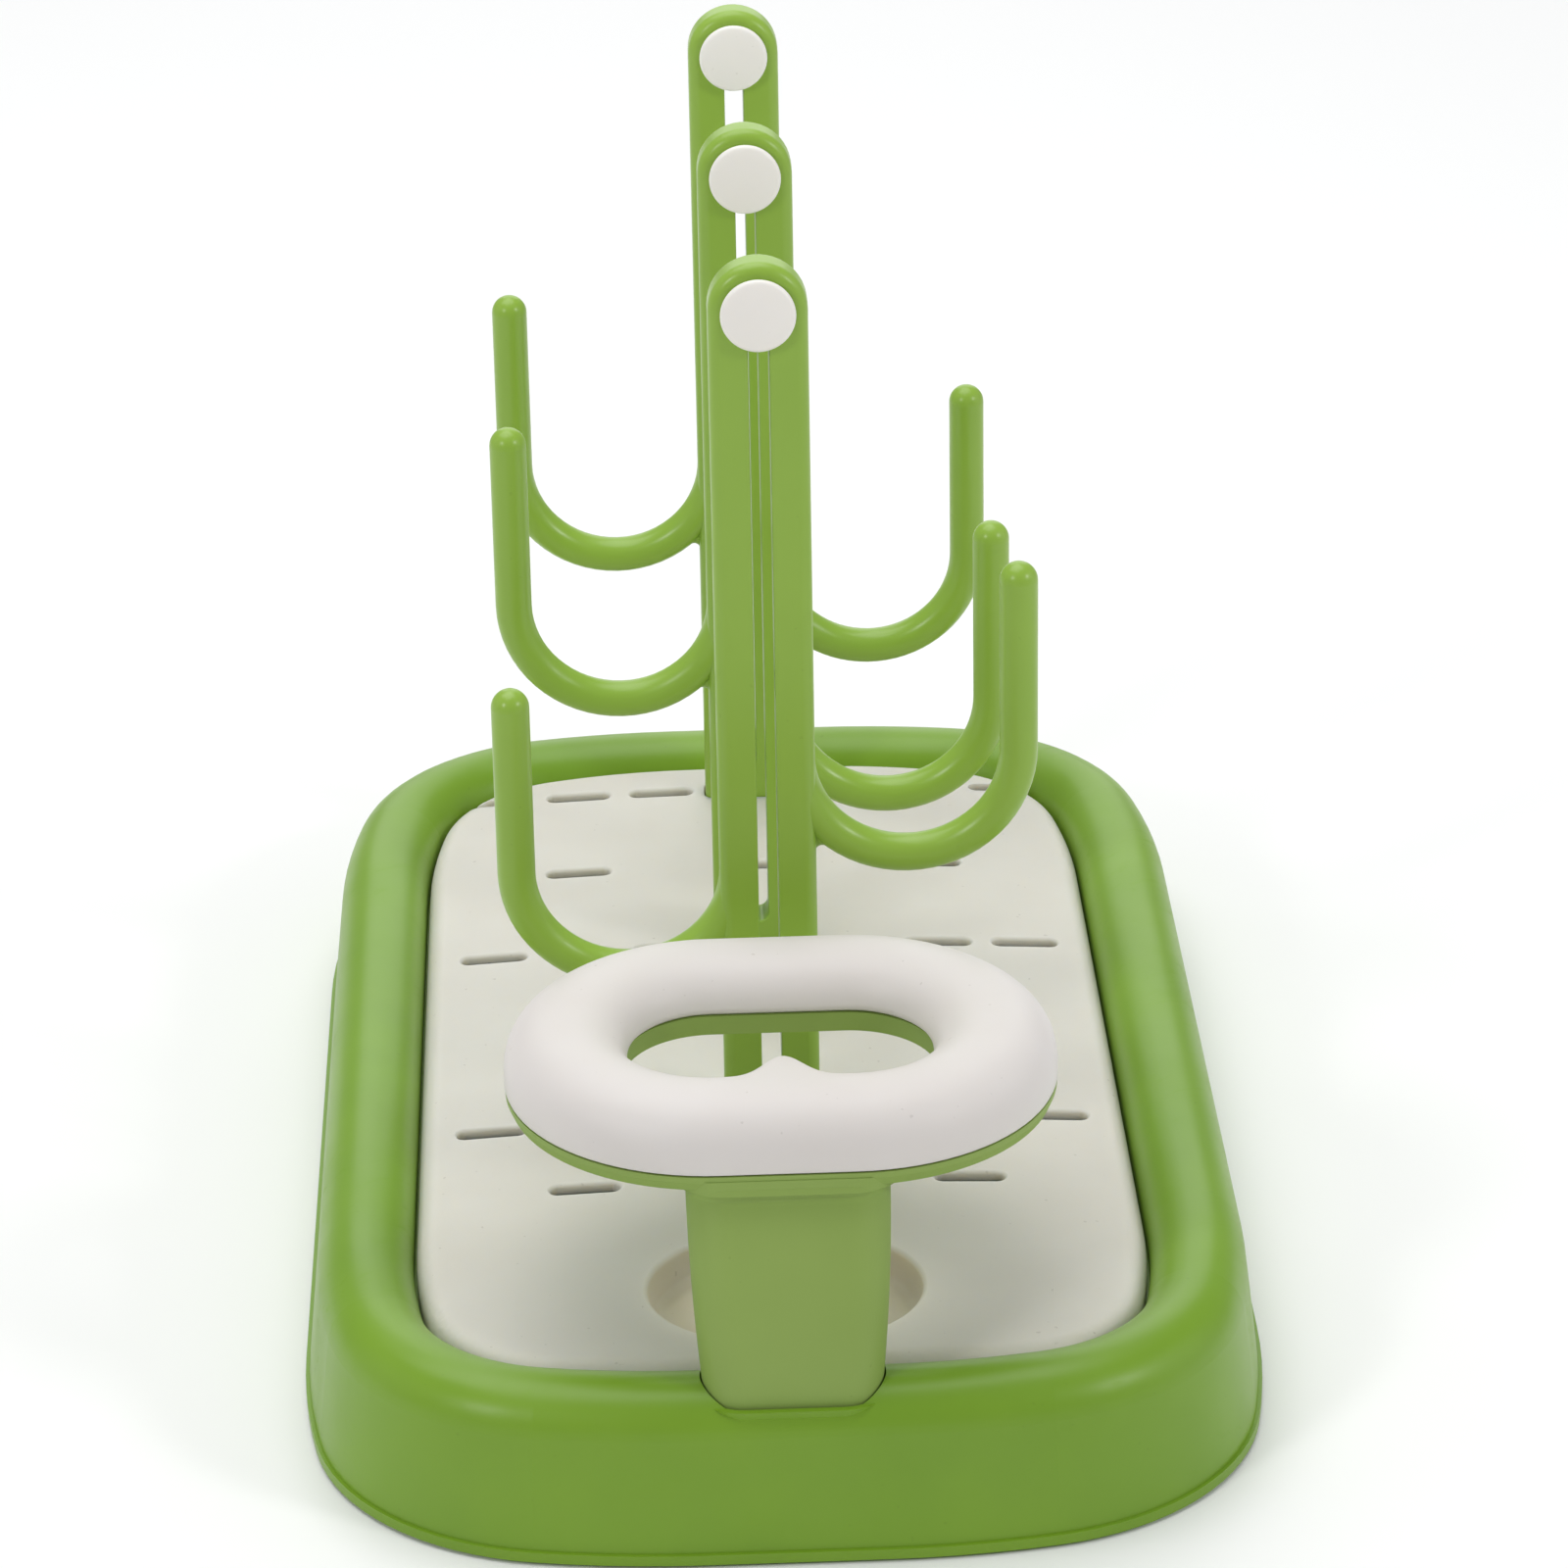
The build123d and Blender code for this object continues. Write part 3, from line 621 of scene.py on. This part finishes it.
def soft_plate(source):
    """A merged copy of the plate with rolled slot mouths."""
    bm = bmesh.new()
    bm.from_mesh(source.data)
    bmesh.ops.remove_doubles(bm, verts=bm.verts, dist=COPY_MERGE)
    lips = []
    for run in edge_loops([edge for edge in bm.edges if is_mouth(edge)]):
        across = [vert.co.x for vert in vertices_of(run)]
        closed = len(across) == len(run)
        if closed and MOUTH_LENGTH[0] < max(across) - min(across) < MOUTH_LENGTH[1]:
            lips.append(run)
    bmesh.ops.bevel(
        bm, geom=[edge for run in lips for edge in run], offset=LIP_ROLL, offset_type="OFFSET",
        segments=LIP_STEPS, profile=0.5, affect="EDGES", material=-1, clamp_overlap=False
    )
    bmesh.ops.dissolve_degenerate(bm, edges=bm.edges, dist=COPY_MERGE)
    print("slot mouths rolled:", len(lips))
    return bm


plate = finish_piece(soft_plate(nodes["drain_plate"]), "drain_plate_soft", "plate", "ivory_plate")
for name in ("custom_normal", "sharp_face"):
    if name in plate.data.attributes:
        plate.data.attributes.remove(plate.data.attributes[name])
plate.data.set_sharp_from_angle(angle=math.radians(SHARP_ANGLE))
even = plate.modifiers.new("Even shading", "WEIGHTED_NORMAL")
even.keep_sharp = True
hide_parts("drain_plate")
print("plate:", len(plate.data.polygons), "faces")

# %% [markdown]
# The rack stands on a pale table that runs on past the picture, so there is no horizon. The table is part of
# the stage, not of the object.

# %% Table
TABLE_SIZE = 9.0
bpy.ops.mesh.primitive_plane_add(size=TABLE_SIZE, location=(0, 0, 0))
table = bpy.context.object
table.name = "studio_table"
table_finish = bpy.data.materials.new("Table paper")
table_finish.use_nodes = True
paper = table_finish.node_tree.nodes["Principled BSDF"]
paper.inputs["Base Color"].default_value = linear(248, 248, 247)
paper.inputs["Roughness"].default_value = 0.9
paper.inputs["Specular IOR Level"].default_value = 0.1
table.data.materials.append(table_finish)
print("table is", round(table.dimensions.x, 1), "m wide")

# %% [markdown]
# The light is that of a product tent: a very large soft panel overhead, a white wall behind, and two weak
# walls at the sides that draw pale lines down the outside of the tray. Two small lamps in front, left and
# right, give the round pegs their pair of thin highlights.

# %% Lights
AIM = (0.0, 0.0, 0.1)
TENT_COLOUR, TENT_STRENGTH = (0.95, 0.97, 1.0, 1.0), 0.33


def panel(name, place, size, power):
    """A soft square light pointing at the middle of the rack."""
    data = bpy.data.lights.new(name, "AREA")
    data.size = size
    data.energy = power
    lamp = bpy.data.objects.new(name, data)
    lamp.location = place
    lamp.rotation_euler = (Vector(AIM) - Vector(place)).to_track_quat("-Z", "Y").to_euler()
    bpy.context.scene.collection.objects.link(lamp)


panel("overhead", (-0.2, 0.3, 1.7), 1.5, 19.0)
panel("back_wall", (0.1, 2.3, 1.15), 1.9, 14.0)
panel("left_wall", (-1.9, 0.1, 0.75), 1.3, 2.5)
panel("right_wall", (1.9, -0.1, 0.75), 1.3, 3.5)
panel("front_left", (-1.30, -1.35, 1.20), 0.34, 8.0)
panel("front_right", (1.55, -1.0, 1.20), 0.34, 8.5)
world = bpy.data.worlds.new("Tent")
world.use_nodes = True
world.node_tree.nodes["Background"].inputs["Color"].default_value = TENT_COLOUR
world.node_tree.nodes["Background"].inputs["Strength"].default_value = TENT_STRENGTH
bpy.context.scene.world = world
bpy.context.scene.view_settings.view_transform = "Standard"

# %% [markdown]
# The camera looks down at the rack from the front through a long lens, so the three posts line up one behind
# the other and the sides stay almost parallel.

# %% Camera
CAMERA_PLACE = (-0.03236, -1.25456, 0.68403)
CAMERA_YAW = -0.0300
CAMERA_DOWN = 0.43537
CAMERA_ROLL = -0.0178
SENSOR_WIDTH, LENS = 36.0, 136.0
camera_data = bpy.data.cameras.new("Camera")
camera_data.sensor_width = SENSOR_WIDTH
camera_data.lens = LENS
camera = bpy.data.objects.new("Camera", camera_data)
turn = Matrix.Rotation(CAMERA_YAW, 4, "Z") @ Matrix.Rotation(math.pi / 2 - CAMERA_DOWN, 4, "X")
turn = turn @ Matrix.Rotation(CAMERA_ROLL, 4, "Z")
camera.matrix_world = Matrix.Translation(CAMERA_PLACE) @ turn
bpy.context.scene.collection.objects.link(camera)
bpy.context.scene.camera = camera
print("lens:", camera_data.lens, "mm")
